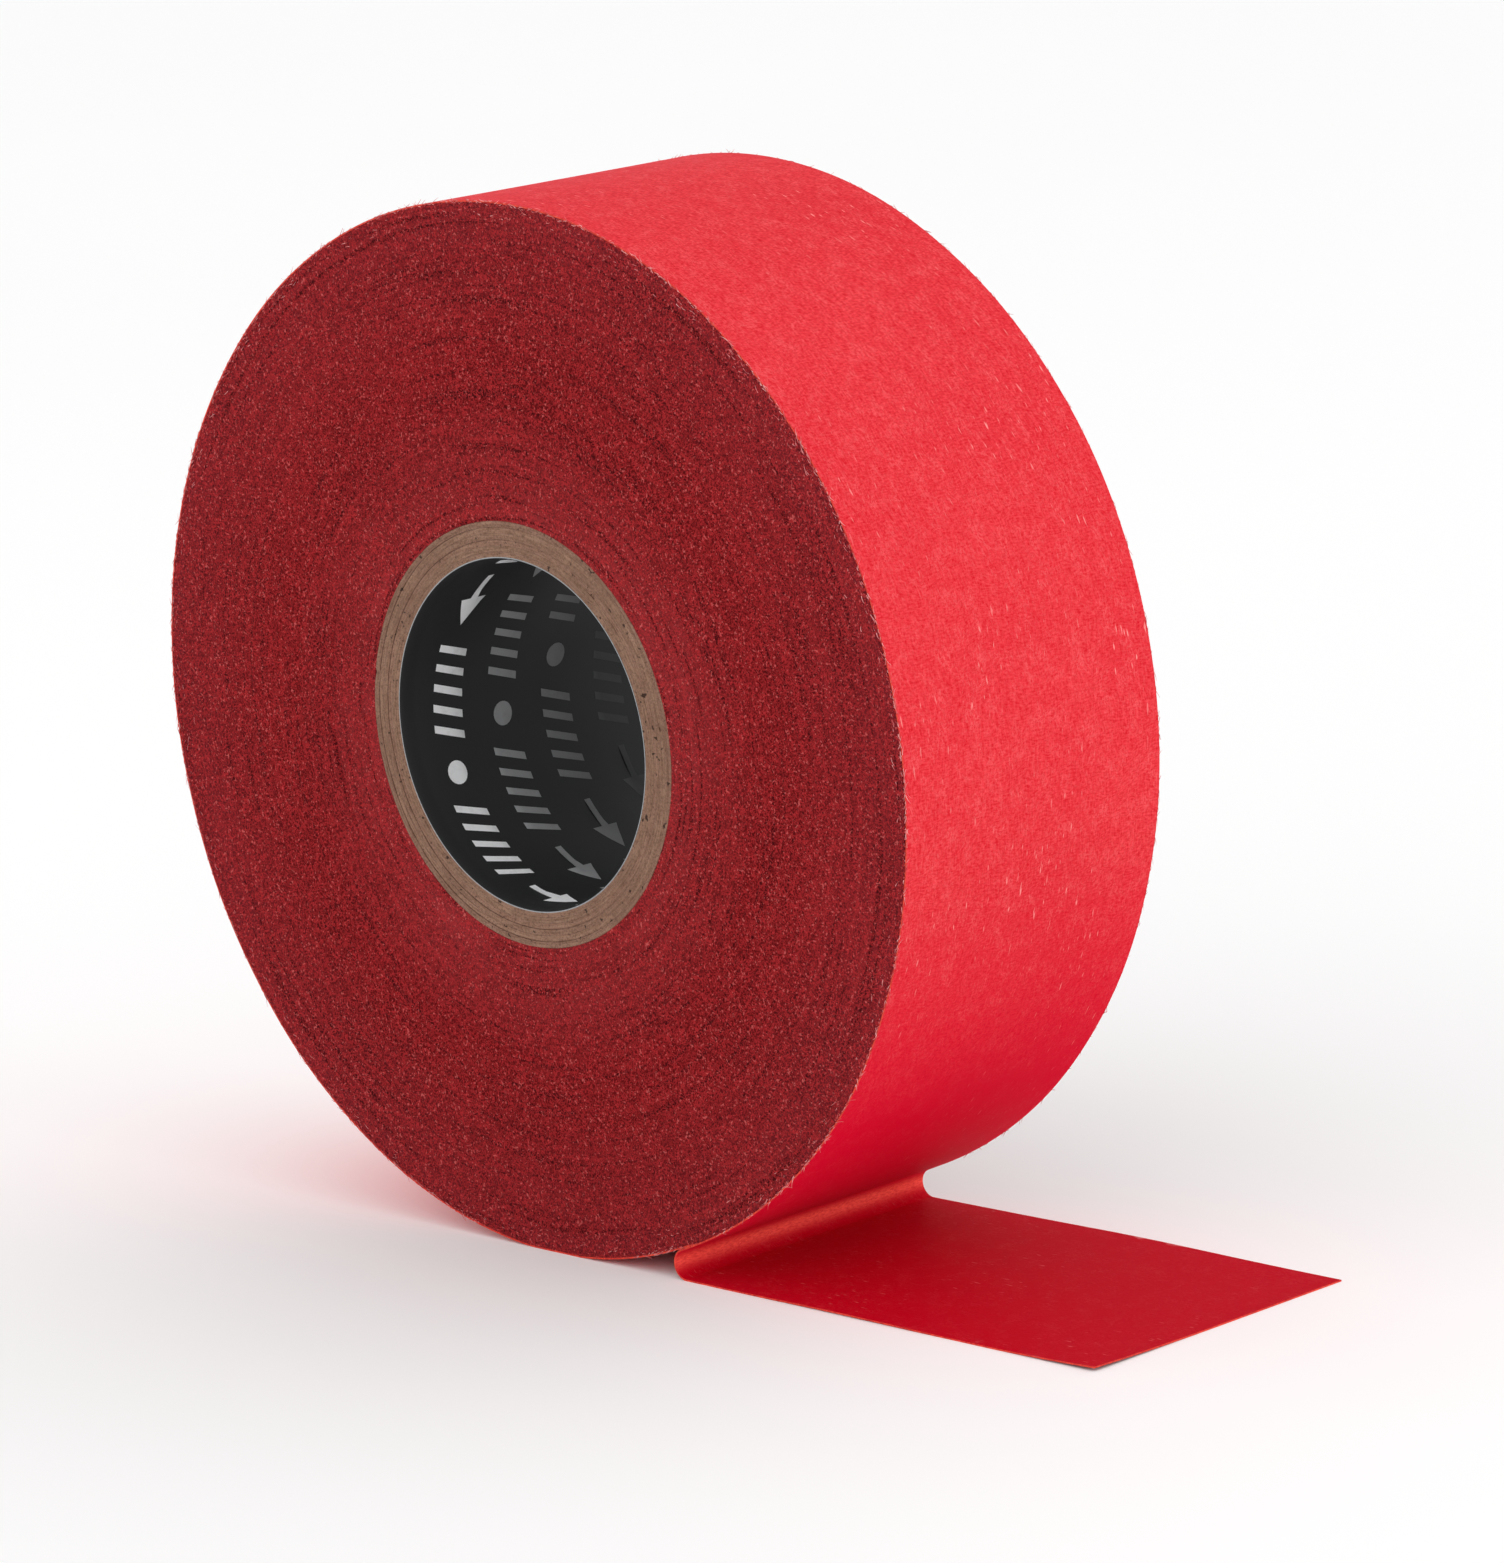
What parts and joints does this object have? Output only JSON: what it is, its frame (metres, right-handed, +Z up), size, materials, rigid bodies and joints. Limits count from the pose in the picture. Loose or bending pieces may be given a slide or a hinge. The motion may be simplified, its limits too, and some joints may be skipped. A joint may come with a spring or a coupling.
{
  "type": "duct tape roll",
  "caption": "Roll of adhesive cloth tape wound on a paperboard core, with its free end peeled, folded back and laid flat beside the roll.",
  "frame": {"origin": "centre of the bore through the core, halfway across the tape's width", "axes": "+Y along the bore axis, +X along the free end of the tape, +Z up"},
  "size_m": [0.1366, 0.038, 0.1148],
  "materials": {
    "liner_paper": "satin",
    "core_board": "matte",
    "tape_edge": "matte",
    "tape_back": "satin"
  },
  "bodies": {
    "roll": {"core_liner": "liner_paper", "core_ply_1": "core_board", "core_ply_2": "core_board", "core_ply_3": "core_board", "core_ply_4": "core_board", "core_ply_5": "core_board", "core_ply_6": "core_board", "tape_winding": "tape_edge", "outer_wrap": "tape_back", "peel_fold": "tape_back"},
    "tail_root": {"tail_root": "tape_back"},
    "tail_mid": {"tail_mid": "tape_back"},
    "tail_end": {"tail_end": "tape_back"}
  },
  "joints": [
    {"name": "tail_peel", "type": "hinge", "parent": "roll", "child": "tail_root", "pos_m": [0.02018, 0, -0.05726], "axis": [0, -1, 0], "range_deg": [-70, 28]},
    {"name": "tail_bend_1", "type": "hinge", "parent": "tail_root", "child": "tail_mid", "pos_m": [0.03985, 0, -0.05726], "axis": [0, -1, 0], "range_deg": [-35, 18]},
    {"name": "tail_bend_2", "type": "hinge", "parent": "tail_mid", "child": "tail_end", "pos_m": [0.05951, 0, -0.05726], "axis": [0, -1, 0], "range_deg": [-35, 18]}
  ]
}
